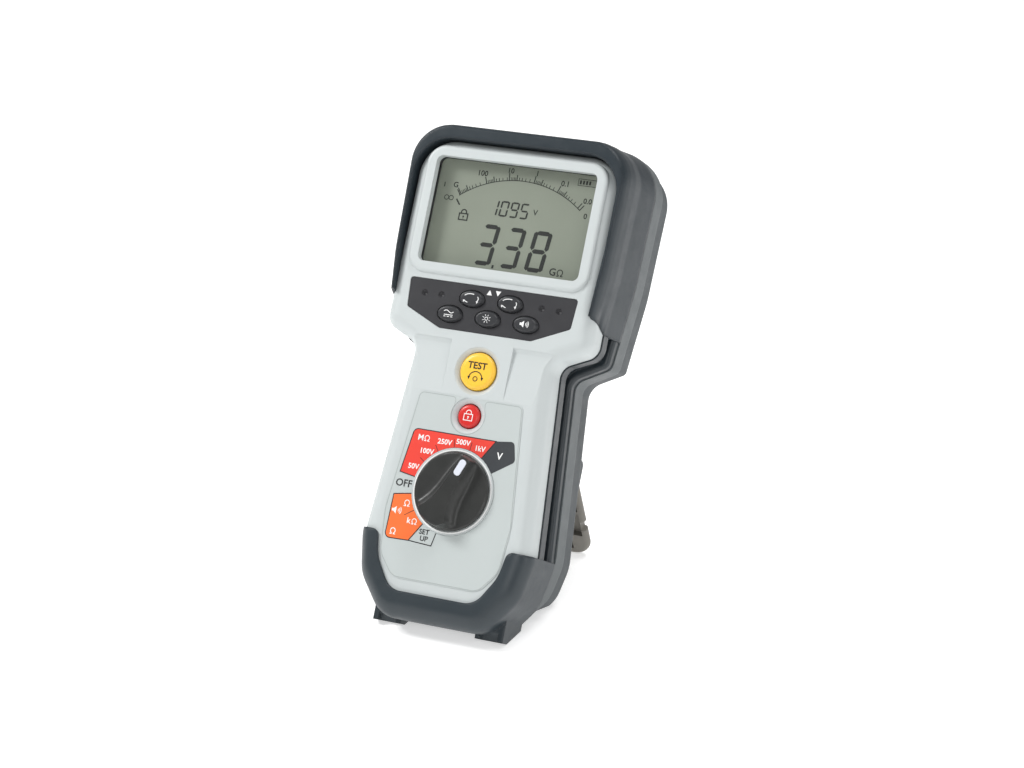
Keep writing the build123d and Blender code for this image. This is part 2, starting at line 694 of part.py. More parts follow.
def buzzer():
    low_z = BOARD_TOP_Z - BOARD_THICK
    return post(14.0, 60.0, 6.0, low_z - 6.0, low_z) - post(14.0, 60.0, 1.2, low_z - 7.0, low_z - 4.5)


POWER_REAR_Z = POWER_BOARD_Z - BOARD_THICK


def transformer_core():
    core = block((-13.0, 13.0), (100.0, 122.0), (POWER_REAR_Z - 14.5, POWER_REAR_Z - 0.5))
    core -= block((-9.0, 9.0), (99.0, 123.0), (POWER_REAR_Z - 11.5, POWER_REAR_Z - 3.5))
    return core


def transformer_coil():
    coil = block((-8.8, 8.8), (97.5, 124.5), (POWER_REAR_Z - 11.3, POWER_REAR_Z - 3.7))
    foot = block((-6.0, 6.0), (95.0, 98.0), (POWER_REAR_Z - 6.0, POWER_REAR_Z))
    return fillet(coil.edges().filter_by(Axis.Y), 2.0) + foot


def reservoir_capacitors():
    return [rod_y(x, 94.0, 116.0, POWER_REAR_Z - 6.2, 6.2) for x in (-27.0, 27.0)]


def relays():
    shapes = []
    for x in (-27.0, 27.0):
        shapes.append(block((x - 5.5, x + 5.5), (118.0, 136.0), (POWER_REAR_Z - 11.0, POWER_REAR_Z)))
    return shapes


def protection_resistors():
    return [rod_x(-8.0, 8.0, y, POWER_REAR_Z - 2.6, 2.6) for y in (130.0, 137.0)]


def fuse():
    return rod_x(-16.0, 16.0, 76.5, POWER_REAR_Z - 6.0, 3.15)


def fuse_clips():
    clips = []
    for x in (-12.5, 12.5):
        clip = block((x - 2.5, x + 2.5), (72.3, 80.7), (POWER_REAR_Z - 8.0, POWER_REAR_Z))
        clip -= block((x - 3.0, x + 3.0), (73.35, 79.65), (POWER_REAR_Z - 9.0, POWER_REAR_Z - 0.6))
        clips.append(clip)
    return clips


# ---- test sockets ----
def socket_shrouds():
    shrouds = []
    for x in SOCKET_XS:
        flange = rod_y(x, SOCKET_FACE_Y + 0.5, SOCKET_FACE_Y + 1.7, SOCKET_Z, 7.6)
        tube = rod_y(x, SOCKET_FACE_Y - 24.0, SOCKET_FACE_Y + 1.7, SOCKET_Z, 5.75)
        well = rod_y(x, SOCKET_FACE_Y - 20.0, SOCKET_FACE_Y + 3.0, SOCKET_Z, 4.2)
        tail = rod_y(x, SOCKET_FACE_Y - 25.0, SOCKET_FACE_Y - 19.0, SOCKET_Z, 2.8)
        shrouds.append((flange & rear_rim_clear()) + tube - well - tail)
    return shrouds


def rear_rim_clear():
    """The space behind the rim, where the socket flanges sit."""
    return block((-100, 100), (100, 200), (BACK_Z + 3.2, RIM_BACK_Z))


def socket_contacts():
    contacts = []
    for x in SOCKET_XS:
        mouth_y = SOCKET_FACE_Y - 1.5
        tube = rod_y(x, SOCKET_FACE_Y - 27.0, mouth_y, SOCKET_Z, 2.8)
        bore = rod_y(x, mouth_y - SOCKET_BORE_LENGTH, mouth_y + 1, SOCKET_Z, SOCKET_BORE_RADIUS)
        contacts.append(tube - bore)
    return contacts


# ---- batteries ----
def cell_ys():
    return [CELL_FIRST_Y + CELL_PITCH * i for i in range(CELL_COUNT)]


def batteries():
    cells = []
    for i, y in enumerate(cell_ys()):
        side = 1 if i % 2 else -1
        end = side * CELL_LENGTH / 2
        can = rod_x(-CELL_LENGTH / 2, CELL_LENGTH / 2, y, CELL_Z, CELL_RADIUS)
        can = fillet(can.edges(), 0.8)
        nub = rod_x(*sorted((end - side * 0.2, end + side * 1.3)), y, CELL_Z, 2.7)
        cells.append(can + nub)
    return cells


def battery_holder():
    ys = cell_ys()
    low_y, high_y = ys[0] - CELL_RADIUS - 1.4, ys[-1] + CELL_RADIUS + 1.4
    half = CELL_LENGTH / 2 + 4.2
    tray = block((-half, half), (low_y, high_y), (COVER_INNER_Z + 1.0, -36.0))
    inner_half = half - 1.3
    room = block((-inner_half, inner_half), (low_y + 1.2, high_y - 1.2), (-60, -41.5))
    for y in ys:
        room += rod_x(-inner_half, inner_half, y, CELL_Z, CELL_RADIUS + 0.1)
    return (tray - room) & rear_hollow()


def battery_contacts():
    inner_half = CELL_LENGTH / 2 + 4.2 - 1.3
    contacts = []
    for i, y in enumerate(cell_ys()):
        for side in (-1, 1):
            plate_x = sorted((side * (inner_half - 0.5), side * inner_half))
            plate = block(plate_x, (y - 5, y + 5), (-50.0, -41.5))
            nub_end = side == (1 if i % 2 else -1)
            reach = 1.3 if nub_end else 0.0
            start = side * (CELL_LENGTH / 2 + reach)
            contact = rod_x(*sorted((start, side * (inner_half - 0.4))), y, CELL_Z, 2.0)
            contacts.append(plate + contact)
    return contacts


# ---- the instrument ----
right_grip = grips()
PIECES = {
    "front_case": front_case(),
    "hood": hood(),
    "bumper": bumper(),
    "right_grip": right_grip,
    "left_grip": mirror(right_grip, Plane.YZ),
    "rear_rim": rear_rim(),
    "rear_case": rear_case(),
    "case_seal": case_seal(),
    "case_screws": case_screws(),
    "battery_cover": battery_cover(),
    "battery_cover_screws": battery_cover_screws(),
    "battery_holder": battery_holder(),
    "batteries": batteries(),
    "battery_contacts": battery_contacts(),
    "stand": stand(),
    "stand_hinge_pin": stand_hinge_pin(),
    "display_lens": display_lens(),
    "display_frame": display_frame(),
    "display_glass": display_glass(),
    "light_guide": light_guide(),
    "contact_strips": contact_strips(),
    "keypad_panel": keypad_panel(),
    "key_mat": key_mat(),
    "key_switches": key_switches(),
    "test_button": push_button(TEST_Y, TEST_RADIUS, 0.6, 2.2),
    "test_switch": push_switch(TEST_Y),
    "lock_button": push_button(LOCK_Y, LOCK_RADIUS, -0.2, 1.6),
    "lock_switch": push_switch(LOCK_Y),
    "knob": knob(),
    "knob_pointer": knob_pointer(),
    "selector_spindle": selector_spindle(),
    "spindle_seal": spindle_seal(),
    "switch_rotor": switch_rotor(),
    "switch_housing": switch_housing(),
    "switch_lid": switch_lid(),
    "label_overlay": label_overlay(),
    "main_board": main_board(),
    "board_screws": board_screws(),
    "power_board": power_board(),
    "board_link": board_link(),
    "measuring_chip": measuring_chip(),
    "buzzer": buzzer(),
    "transformer_core": transformer_core(),
    "transformer_coil": transformer_coil(),
    "reservoir_capacitors": reservoir_capacitors(),
    "relays": relays(),
    "protection_resistors": protection_resistors(),
    "fuse": fuse(),
    "fuse_clips": fuse_clips(),
    "socket_shrouds": socket_shrouds(),
    "socket_contacts": socket_contacts(),
}
for key_name, key_centre in KEY_CENTRES.items():
    PIECES[key_name] = key(key_centre)


def solids_of(piece):
    """Every solid of a piece, whether it is one shape or a list of them."""
    shapes = piece if isinstance(piece, list) else [piece]
    return [solid for shape in shapes for solid in shape.solids()]


# ---- stand it up: lean it back, then put the box's bottom centre at the origin ----
LEANED = Rot(90 - LEAN, 0, 0)
LEANED_SOLIDS = [LEANED * solid for piece in PIECES.values() for solid in solids_of(piece)]
WHOLE_BOX = Compound(children=LEANED_SOLIDS).bounding_box()
SHIFT = Pos(0, -(WHOLE_BOX.min.Y + WHOLE_BOX.max.Y) / 2, -WHOLE_BOX.min.Z)
PLACE = SHIFT * LEANED


def main():
    os.makedirs("parts", exist_ok=True)
    for name, piece in PIECES.items():
        placed = [PLACE * solid for solid in solids_of(piece)]
        shape = placed[0] if len(placed) == 1 else Compound(children=placed)
        shape.label = name
        export_step(shape, f"parts/{name}.step")
    print(len(PIECES), "nodes")


main()
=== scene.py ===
import json
import math

import bmesh
import bpy
from mathutils import Matrix, Vector


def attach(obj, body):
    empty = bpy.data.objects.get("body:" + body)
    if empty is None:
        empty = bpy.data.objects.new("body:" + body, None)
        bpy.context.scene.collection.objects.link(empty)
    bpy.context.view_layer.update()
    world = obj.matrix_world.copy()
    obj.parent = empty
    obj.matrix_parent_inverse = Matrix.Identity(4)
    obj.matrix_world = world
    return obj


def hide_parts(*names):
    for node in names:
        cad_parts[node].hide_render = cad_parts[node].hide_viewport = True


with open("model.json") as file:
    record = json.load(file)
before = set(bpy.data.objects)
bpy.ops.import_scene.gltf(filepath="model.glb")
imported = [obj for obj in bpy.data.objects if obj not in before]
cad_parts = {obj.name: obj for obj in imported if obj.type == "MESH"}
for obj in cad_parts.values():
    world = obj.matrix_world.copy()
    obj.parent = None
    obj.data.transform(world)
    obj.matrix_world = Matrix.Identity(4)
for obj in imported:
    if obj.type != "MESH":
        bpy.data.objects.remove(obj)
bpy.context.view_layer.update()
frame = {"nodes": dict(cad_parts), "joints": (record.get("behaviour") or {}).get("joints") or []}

NODES = frame["nodes"]
SCENE = bpy.context.scene

# The face's own directions, read from the selector's joint: x across it, y up it and z out of it.
# Points on the instrument are given in these, in millimetres, from the selector's centre.
SELECTOR = next(joint for joint in frame["joints"] if joint["name"] == "selector_turn")
OUT = Vector(SELECTOR["axis"]).normalized()
RIGHT = Vector((1, 0, 0))
UP = OUT.cross(RIGHT)
MM = 0.001
FACE = Matrix((RIGHT, UP, OUT)).transposed().to_4x4()
FACE.translation = Vector(SELECTOR["pos_m"])
FACE = FACE @ Matrix.Scale(MM, 4)

KEY_TOP_Z = 1.5
KEYS = {
    "upper_left_key": (-9.4, 86.9),
    "upper_right_key": (9.4, 86.9),
    "lower_left_key": (-18.7, 78.8),
    "lower_middle_key": (0.0, 78.8),
    "lower_right_key": (18.7, 78.8),
}
TEST_Y = 55.0
LOCK_Y = 34.6
KNOB_RADIUS = 17.75
KNOB_BASE_Z = 1.0
KNOB_DISC_Z = 2.9
KNOB_TOP_Z = 7.6
KNOB_TURN = -22.5          # where the selector rests, from straight up


# ---- materials ----
def linear(red, green, blue):
    """A colour given as 0 to 255 screen values."""
    values = [v / 255 for v in (red, green, blue)]
    return [v / 12.92 if v <= 0.04045 else ((v + 0.055) / 1.055) ** 2.4 for v in values] + [1.0]


def node(tree, kind, **inputs):
    made = tree.nodes.new(kind)
    for name, value in inputs.items():
        made.inputs[name.replace("_", " ")].default_value = value
    return made


def noise(tree, coords, scale, detail, roughness=0.55):
    made = node(tree, "ShaderNodeTexNoise", Scale=scale, Detail=detail, Roughness=roughness)
    tree.links.new(coords, made.inputs["Vector"])
    return made.outputs["Fac"]


def ranged(tree, value, low, high, to_low, to_high):
    made = node(tree, "ShaderNodeMapRange")
    for i, number in enumerate((low, high, to_low, to_high), 1):
        made.inputs[i].default_value = number
    tree.links.new(value, made.inputs[0])
    return made.outputs[0]


def mixed(tree, factor, first, second):
    made = tree.nodes.new("ShaderNodeMix")
    made.data_type = "RGBA"
    for socket, value in ((made.inputs[0], factor), (made.inputs[6], first), (made.inputs[7], second)):
        if isinstance(value, bpy.types.NodeSocket):
            tree.links.new(value, socket)
        else:
            socket.default_value = value
    return made.outputs[2]


def moulded(
    name, colour, rough=0.5, grain=0.04, grain_size=0.00035, mottle=0.06, edge=0.5,
    round_mm=0.35, coat=0.0, metallic=0.0, gloss=0.5, scuffs=0.25,
):
    """Moulded plastic or rubber, with a fine grain, faint mottling, rounded edges and scuffs.

    Edges are rounded by round_mm, and edge says how much paler they are painted, as a patchy painted
    highlight.
    """
    material = bpy.data.materials.new(name)
    material.use_nodes = True
    tree = material.node_tree
    shader = tree.nodes["Principled BSDF"]
    coords = tree.nodes.new("ShaderNodeTexCoord").outputs["Object"]
    dark = [c * (1 - mottle) for c in colour[:3]] + [1.0]
    light = [min(c * (1 + mottle) + 0.002, 1.0) for c in colour[:3]] + [1.0]
    base = mixed(tree, noise(tree, coords, 55.0, 4.0), dark, light)
    rounded = node(tree, "ShaderNodeBevel", Radius=round_mm * MM)
    rounded.samples = 4
    geometry = tree.nodes.new("ShaderNodeNewGeometry")
    facing = tree.nodes.new("ShaderNodeVectorMath")
    facing.operation = "DOT_PRODUCT"
    tree.links.new(rounded.outputs[0], facing.inputs[0])
    tree.links.new(geometry.outputs["Normal"], facing.inputs[1])
    # Painted highlight: along edges, where the rounded normal turns from the true one, the colour is
    # mixed towards a pale tone in noisy patches.
    edge_highlight = ranged(tree, facing.outputs["Value"], 0.995, 0.75, 0.0, edge)
    patchy = ranged(tree, noise(tree, coords, 420.0, 3.0), 0.42, 0.62, 0.15, 1.0)
    patchy_edge_highlight = tree.nodes.new("ShaderNodeMath")
    patchy_edge_highlight.operation = "MULTIPLY"
    tree.links.new(edge_highlight, patchy_edge_highlight.inputs[0])
    tree.links.new(patchy, patchy_edge_highlight.inputs[1])
    pale = [min(c * 1.6 + 0.03, 0.95) for c in colour[:3]] + [1.0]
    tree.links.new(mixed(tree, patchy_edge_highlight.outputs[0], base, pale), shader.inputs["Base Color"])
    smear = noise(tree, coords, 140.0, 5.0, 0.7)
    low, high = max(rough - 0.20 * scuffs, 0.03), min(rough + 0.28 * scuffs, 1.0)
    tree.links.new(ranged(tree, smear, 0.3, 0.7, low, high), shader.inputs["Roughness"])
    bump = node(tree, "ShaderNodeBump", Strength=grain, Distance=0.0002)
    tree.links.new(noise(tree, coords, 1.0 / grain_size, 2.0), bump.inputs["Height"])
    tree.links.new(rounded.outputs[0], bump.inputs["Normal"])
    tree.links.new(bump.outputs[0], shader.inputs["Normal"])
    shader.inputs["Specular IOR Level"].default_value = gloss
    shader.inputs["Coat Weight"].default_value = coat
    shader.inputs["Coat Roughness"].default_value = 0.25
    shader.inputs["Metallic"].default_value = metallic
    return material


def ink(name, colour, rough=0.42):
    """Printed ink, with a little unevenness."""
    look = dict(grain=0.02, mottle=0.08, edge=0.0, round_mm=0.02, scuffs=0.2)
    return moulded(name, colour, rough=rough, **look)


def brushed(name, colour, rough):
    """Bright metal with a fine grain."""
    # edge paints the metal's edges a little paler, as a painted highlight.
    look = dict(grain=0.10, grain_size=0.0002, metallic=1.0, edge=0.2, round_mm=0.15)
    return moulded(name, colour, rough=rough, **look)


def window_glass():
    """Clear acrylic, nearly all see-through, with a faint sheen broken up by fine scratches."""
    material = bpy.data.materials.new("clear_acrylic")
    material.use_nodes = True
    tree = material.node_tree
    tree.nodes.clear()
    clear = node(tree, "ShaderNodeBsdfTransparent", Color=(0.97, 0.98, 0.97, 1.0))
    sheen = node(tree, "ShaderNodeBsdfGlossy", Color=(1.0, 1.0, 1.0, 1.0))
    coords = tree.nodes.new("ShaderNodeTexCoord").outputs["Object"]
    scratches = noise(tree, coords, 300.0, 6.0)
    tree.links.new(ranged(tree, scratches, 0.3, 0.8, 0.04, 0.16), sheen.inputs["Roughness"])
    mix = node(tree, "ShaderNodeMixShader", Fac=0.02)
    output = tree.nodes.new("ShaderNodeOutputMaterial")
    tree.links.new(clear.outputs[0], mix.inputs[1])
    tree.links.new(sheen.outputs[0], mix.inputs[2])
    tree.links.new(mix.outputs[0], output.inputs["Surface"])
    return material


def display_panel():
    """The grey-green reflective panel of a liquid crystal display, with a faint cell texture."""
    material = bpy.data.materials.new("liquid_crystal_panel")
    material.use_nodes = True
    tree = material.node_tree
    shader = tree.nodes["Principled BSDF"]
    coords = tree.nodes.new("ShaderNodeTexCoord").outputs["Object"]
    cloud = noise(tree, coords, 22.0, 2.0)
    tint = mixed(tree, cloud, linear(134, 138, 127), linear(146, 150, 139))
    tree.links.new(tint, shader.inputs["Base Color"])
    bump = node(tree, "ShaderNodeBump", Strength=0.05, Distance=0.0001)
    tree.links.new(noise(tree, coords, 5000.0, 1.0), bump.inputs["Height"])
    tree.links.new(bump.outputs[0], shader.inputs["Normal"])
    shader.inputs["Roughness"].default_value = 0.38
    return material


# edge, where a finish gives it, sets how strongly its edges are painted paler as a highlight.
FIRM = dict(grain=0.12, mottle=0.05)
SOFT = dict(grain=0.10, mottle=0.05)
DARK = dict(grain=0.08, mottle=0.1)
BUTTON = dict(grain=0.03, edge=0.0)
CASE = moulded(
    "case_plastic", linear(192, 198, 198), 0.44,
    grain=0.05, mottle=0.012, edge=0.12, round_mm=0.6, scuffs=0.2)
RUBBER = moulded(
    "overmould_rubber", linear(36, 45, 51), 0.36, edge=0.0, round_mm=2.4, gloss=0.42, **SOFT)
BUMPER = moulded(
    "bumper_rubber", linear(46, 54, 59), 0.38, edge=0.0, round_mm=1.6, gloss=0.42, **SOFT)
GRIP = moulded("grip_rubber", linear(34, 42, 47), 0.34, edge=0.5, round_mm=0.7, **SOFT)
RIM = moulded("rim_rubber", linear(84, 90, 92), 0.45, edge=0.3, round_mm=0.8, **SOFT)
REAR = moulded("rear_plastic", linear(66, 72, 75), 0.52, edge=0.4, **FIRM)
STAND = moulded("stand_plastic", linear(122, 119, 112), 0.55, edge=0.35, **FIRM)
PANEL = moulded(
    "keypad_panel", linear(48, 48, 51), 0.42, grain=0.08, mottle=0.07, edge=0.5, round_mm=0.25, gloss=0.4)
KEY = moulded("key_rubber", linear(44, 45, 48), 0.36, grain=0.05, mottle=0.06, edge=0.6, round_mm=0.5)
YELLOW = moulded(
    "yellow_button", linear(246, 194, 58), 0.36, mottle=0.03, round_mm=1.4, coat=0.1, **BUTTON)
RED = moulded("red_button", linear(206, 36, 32), 0.32, mottle=0.04, round_mm=1.0, coat=0.2, **BUTTON)
KNOB = moulded(
    "knob_plastic", linear(44, 45, 44), 0.36, grain=0.12, mottle=0.07, edge=0.4, round_mm=0.25, gloss=0.4)
POINTER = moulded(
    "pointer_insert", linear(214, 218, 228), 0.35, grain=0.02, mottle=0.03, edge=0.1, round_mm=0.2)
LABEL = moulded(
    "label_film", linear(186, 193, 192), 0.40, grain=0.03, mottle=0.012, edge=0.35, round_mm=0.15)
SEAL = moulded("seal_rubber", linear(26, 27, 28), 0.6, **DARK)
BLACK = moulded("black_plastic", linear(28, 29, 30), 0.5, **DARK)
WHITE = moulded("white_plastic", linear(228, 229, 226), 0.45, grain=0.04, mottle=0.02)
SOCKET = moulded("socket_plastic", linear(34, 35, 37), 0.38, grain=0.05, mottle=0.08, coat=0.1)
BOARD = moulded(
    "solder_mask", linear(28, 92, 52), 0.35, grain=0.12, grain_size=0.0012, mottle=0.2, coat=0.3)
WINDING = moulded("coil_tape", linear(196, 142, 52), 0.45, grain=0.2, mottle=0.15)
CERAMIC = moulded("ceramic_body", linear(196, 184, 158), 0.6, grain=0.12, mottle=0.08)
SLEEVE = moulded("capacitor_sleeve", linear(36, 46, 84), 0.35, grain=0.04, mottle=0.12, coat=0.3)
FERRITE = moulded("ferrite_core", linear(54, 54, 57), 0.55, grain=0.25, mottle=0.15)
CELL = moulded("cell_wrap", linear(58, 62, 68), 0.3, grain=0.04, mottle=0.1, coat=0.4, metallic=0.4)
STEEL = brushed("zinc_plated_steel", linear(186, 188, 190), 0.32)
NICKEL = brushed("nickel_plate", linear(208, 206, 198), 0.26)
BRASS = brushed("brass_contact", linear(204, 172, 98), 0.28)
GLASS = window_glass()
CRYSTAL = display_panel()
INK_BLACK = ink("black_ink", linear(26, 26, 30))
INK_WHITE = ink("white_ink", linear(240, 241, 240))
INK_RED = ink("red_ink", linear(226, 62, 48))
INK_ORANGE = ink("orange_ink", linear(240, 112, 50))
INK_GREY = ink("grey_ink", linear(158, 165, 164))
INK_CHARCOAL = ink("charcoal_ink", linear(54, 57, 61))
SEGMENT = ink("display_segment", linear(16, 18, 18), rough=0.6)

FINISHES = {
    "front_case": CASE, "hood": RUBBER, "bumper": BUMPER, "right_grip": GRIP, "left_grip": GRIP,
    "rear_rim": RIM, "rear_case": REAR, "battery_cover": REAR, "case_seal": SEAL,
    "case_screws": STEEL, "battery_cover_screws": STEEL, "battery_holder": BLACK,
    "batteries": CELL, "battery_contacts": NICKEL, "stand": STAND, "stand_hinge_pin": STEEL,
    "display_lens": GLASS, "display_frame": BLACK, "display_glass": CRYSTAL, "light_guide": WHITE,
    "contact_strips": SEAL, "keypad_panel": PANEL, "key_mat": KEY, "key_switches": NICKEL,
    "test_button": YELLOW, "test_switch": BLACK, "lock_button": RED, "lock_switch": BLACK,
    "knob": KNOB, "knob_pointer": POINTER, "selector_spindle": STEEL, "spindle_seal": SEAL,
    "switch_rotor": WHITE, "switch_housing": BLACK, "switch_lid": BLACK, "label_overlay": LABEL,
    "main_board": BOARD, "board_screws": STEEL, "power_board": BOARD, "board_link": BLACK,
    "measuring_chip": BLACK, "buzzer": BLACK, "transformer_core": FERRITE,
    "transformer_coil": WINDING, "reservoir_capacitors": SLEEVE, "relays": WHITE,
    "protection_resistors": CERAMIC, "fuse": CERAMIC, "fuse_clips": BRASS,
    "socket_shrouds": SOCKET, "socket_contacts": BRASS,
}
FINISHES.update({name: KEY for name in KEYS})
for name, material in FINISHES.items():
    mesh = NODES[name].data
    mesh.materials.clear()
    mesh.materials.append(material)


# ---- drawing in the face's directions ----
# A layer is the lowest and highest z of a print, in the face's millimetres.
def add_piece(name, bm, body, material, smooth=False):
    """Turns a bmesh given in the face's millimetres into a piece that rides on a body."""
    bmesh.ops.transform(bm, matrix=FACE, verts=bm.verts)
    bmesh.ops.recalc_face_normals(bm, faces=bm.faces)
    mesh = bpy.data.meshes.new(name)
    bm.to_mesh(mesh)
    bm.free()
    mesh.materials.append(material)
    mesh.polygons.foreach_set("use_smooth", [smooth] * len(mesh.polygons))
    piece = bpy.data.objects.new(name, mesh)
    SCENE.collection.objects.link(piece)
    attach(piece, body)
    return piece


def arc(centre, radius, start, end, steps=24, squeeze=1.0):
    """Points on an arc. Angles are degrees from x, and squeeze flattens it up and down."""
    points = []
    for i in range(steps + 1):
        angle = math.radians(start + (end - start) * i / steps)
        x = centre[0] + radius * math.cos(angle)
        y = centre[1] + squeeze * radius * math.sin(angle)
        points.append((x, y))
    return points


def rounded(corners):
    """A closed outline from (x, y, radius) corners."""
    steps = 8
    points = []
    for i, (x, y, radius) in enumerate(corners):
        if radius <= 0:
            points.append((x, y))
            continue
        here = Vector((x, y))
        before = (Vector(corners[i - 1][:2]) - here).normalized()
        after = (Vector(corners[(i + 1) % len(corners)][:2]) - here).normalized()
        half = before.angle(after) / 2
        middle = here + (before + after).normalized() * (radius / math.sin(half))
        start = here + before * (radius / math.tan(half)) - middle
        end = here + after * (radius / math.tan(half)) - middle
        turn = start.angle_signed(end)
        for k in range(steps + 1):
            spin = Matrix.Rotation(-turn * k / steps, 2)
            points.append(tuple(middle + spin @ start))
    return points


def plate(bm, layer, points):
    """A flat closed plate with this outline."""
    low, high = layer
    bottom = [bm.verts.new((x, y, low)) for x, y in points]
    top = [bm.verts.new((x, y, high)) for x, y in points]
    bm.faces.new(bottom[::-1])
    bm.faces.new(top)
    count = len(points)
    for i in range(count):
        j = (i + 1) % count
        bm.faces.new((bottom[i], bottom[j], top[j], top[i]))


def stroke(bm, layer, points, width, closed=False):
    """A drawn line of this width along the points, with mitred joins."""
    count = len(points)
    left, right = [], []
    for i, (x, y) in enumerate(points):
        here = Vector((x, y))
        before = Vector(points[i - 1]) if (i > 0 or closed) else None
        after = Vector(points[(i + 1) % count]) if (i < count - 1 or closed) else None
        along = Vector((0, 0))
        if before is not None:
            along += (here - before).normalized()
        if after is not None:
            along += (after - here).normalized()
        along.normalize()
        across = Vector((-along.y, along.x))
        edge = (after - here) if after is not None else (here - before)
        edge.normalize()
        reach = width / 2 / max(abs(across.dot(Vector((-edge.y, edge.x)))), 0.5)
        left.append(here + across * reach)
        right.append(here - across * reach)
    spans = count if closed else count - 1
    rows = [[bm.verts.new((p.x, p.y, z)) for p in side] for side in (left, right) for z in layer]
    left_low, left_high, right_low, right_high = rows
    for i in range(spans):
        j = (i + 1) % count
        bm.faces.new((left_high[i], right_high[i], right_high[j], left_high[j]))
        bm.faces.new((left_low[i], left_low[j], right_low[j], right_low[i]))
        bm.faces.new((left_low[i], left_high[i], left_high[j], left_low[j]))
        bm.faces.new((right_low[i], right_low[j], right_high[j], right_high[i]))
    if not closed:
        for i in (0, count - 1):
            bm.faces.new((left_low[i], right_low[i], right_high[i], left_high[i]))


def text(bm, layer, words, x, y, size, bold=0.0):
    """Lettering centred on a point. Bold thickens its strokes."""
    low, high = layer
    curve = bpy.data.curves.new("lettering", "FONT")
    curve.body = words
    curve.size = size
    curve.align_x = "CENTER"
    curve.align_y = "CENTER"
    curve.offset = bold
    curve.extrude = (high - low) / 2
    curve.resolution_u = 3
    holder = bpy.data.objects.new("lettering", curve)
    mesh = bpy.data.meshes.new_from_object(holder)
    mesh.transform(Matrix.Translation((x, y, (low + high) / 2)))
    bm.from_mesh(mesh)
    bpy.data.objects.remove(holder)
    bpy.data.curves.remove(curve)
    bpy.data.meshes.remove(mesh)


def omega(bm, layer, x, y, height, width=None):
    """The ohm sign, standing on y."""
    width = width or height * 0.13
    line_y = y + width / 2
    foot = height * 0.5
    bow = arc((x, y + height * 0.56), height * 0.40, 245, -65, 20, 1.05)
    left_foot = [(x - foot, line_y), (bow[0][0], line_y)]
    right_foot = [(bow[-1][0], line_y), (x + foot, line_y)]
    stroke(bm, layer, left_foot + bow + right_foot, width)


def rectangle(x, y, half_width, low, high):
    """A rectangle's corners, from below to above y, with x in its middle."""
    left, right = x - half_width, x + half_width
    return [(left, y + low), (right, y + low), (right, y + high), (left, y + high)]


def padlock(bm, layer, x, y, width, line):
    """A padlock sign drawn in outline, with its keyhole."""
    stroke(bm, layer, rectangle(x, y, width / 2, width * -0.42, width * 0.28), line, closed=True)
    plate(bm, layer, arc((x, y - width * 0.04), width * 0.10, 0, 345, 12))
    plate(bm, layer, rectangle(x, y, width * 0.04, width * -0.28, width * -0.06))
    leg, top = width * 0.3, y + width * 0.28
    bow = arc((x, y + width * 0.42), leg, 180, 0, 12)
    stroke(bm, layer, [(x - leg, top)] + bow + [(x + leg, top)], line)


def speaker(bm, layer, x, y, size):
    """A loudspeaker sign with three sound waves."""
    cone = [(-0.5, -0.12), (-0.32, -0.12), (-0.08, -0.34), (-0.08, 0.34), (-0.32, 0.12), (-0.5, 0.12)]
    plate(bm, layer, [(x + size * a, y + size * b) for a, b in cone])
    for radius in (0.16, 0.30, 0.44):
        stroke(bm, layer, arc((x - size * 0.02, y), size * radius, -42, 42, 8), size * 0.06)


def ink_piece(name, body, slot, material, layer, *drawings):
    """One printed piece from several drawings, each a function and its arguments."""
    bm = bmesh.new()
    for draw, *values in drawings:
        draw(bm, layer, *values)
    return add_piece(name, bm, body, material)


# ---- printed label ----
LABEL_LOW = 0.22
FIELD = (LABEL_LOW, 0.30)
OVER_FIELD = (LABEL_LOW, 0.33)
EDGE_PRINT = (LABEL_LOW, 0.28)
RING_PRINT = (0.68, 0.74)  # on top of the raised ring round the knob
FIELD_LINE = 0.42
DIVIDER = 0.26             # thickness of the thin lines between the ranges
RING = KNOB_RADIUS + 1.9


def on_ring(angle):
    """A point on the selector's ring, at this angle clockwise from the top."""
    turn = math.radians(angle)
    return (RING * math.sin(turn), RING * math.cos(turn))


def ring_arc(start, end):
    steps = 20
    return [on_ring(start + (end - start) * i / steps) for i in range(steps + 1)]


def angle_of(x, y):
    return math.degrees(math.atan2(x, y))


def sector(corners, start, end):
    """A printed field whose inner edge follows the selector's ring."""
    return rounded([(x, y, 0.0) for x, y in ring_arc(start, end)] + corners)


red_field = sector([(-27.2, 5.1, 0.0), (-24.2, 25.4, 2.4), (15.9, 25.3, 0.0)][::-1], -79.0, 32.0)
charcoal_field = sector([(26.7, 17.5, 2.0), (24.6, 26.4, 2.0), (15.9, 25.3, 0.0)], 32.0, 57.0)
orange_field = sector([(-16.6, -24.7, 0.0), (-28.4, -25.0, 2.4), (-28.0, -5.2, 0.0)], -101.0, -145.5)


def ring_line(bm, layer, radius, width):
    """The white line round the knob, on top of the raised ring. It has a height of its own."""
    stroke(bm, RING_PRINT, arc((0, 0), radius, 0, 357.5, 143), width, True)


def label_piece(name, material, layer, *drawings):
    return ink_piece(name, "instrument", "label_film", material, layer, *drawings)


label_piece("red_range_field", INK_RED, FIELD, (plate, red_field))
label_piece("orange_range_field", INK_ORANGE, FIELD, (plate, orange_field))
label_piece("voltage_field", INK_CHARCOAL, FIELD, (plate, charcoal_field))
label_piece(
    "range_outlines", INK_BLACK, OVER_FIELD,
    (stroke, red_field, FIELD_LINE, True),
    (stroke, orange_field, FIELD_LINE, True),
    (stroke, [(-16.6, -24.7), (-5.2, -25.4), (-4.0, -19.6)], FIELD_LINE),
    (stroke, [(-18.8, 12.7), on_ring(angle_of(-15.6, 10.6))], DIVIDER),
    (stroke, [(-12.6, 19.4), on_ring(angle_of(-10.7, 16.6))], DIVIDER),
    (stroke, [(-4.1, 23.2), on_ring(-10)], DIVIDER),
    (stroke, [(4.6, 23.1), on_ring(12.5)], DIVIDER),
    (stroke, [(-21.0, -13.9), on_ring(-123.5)], DIVIDER),
)
round_lock = [(x, y, 0.0) for x, y in arc((0, LOCK_Y), 8.35, 156, 384, 24)]
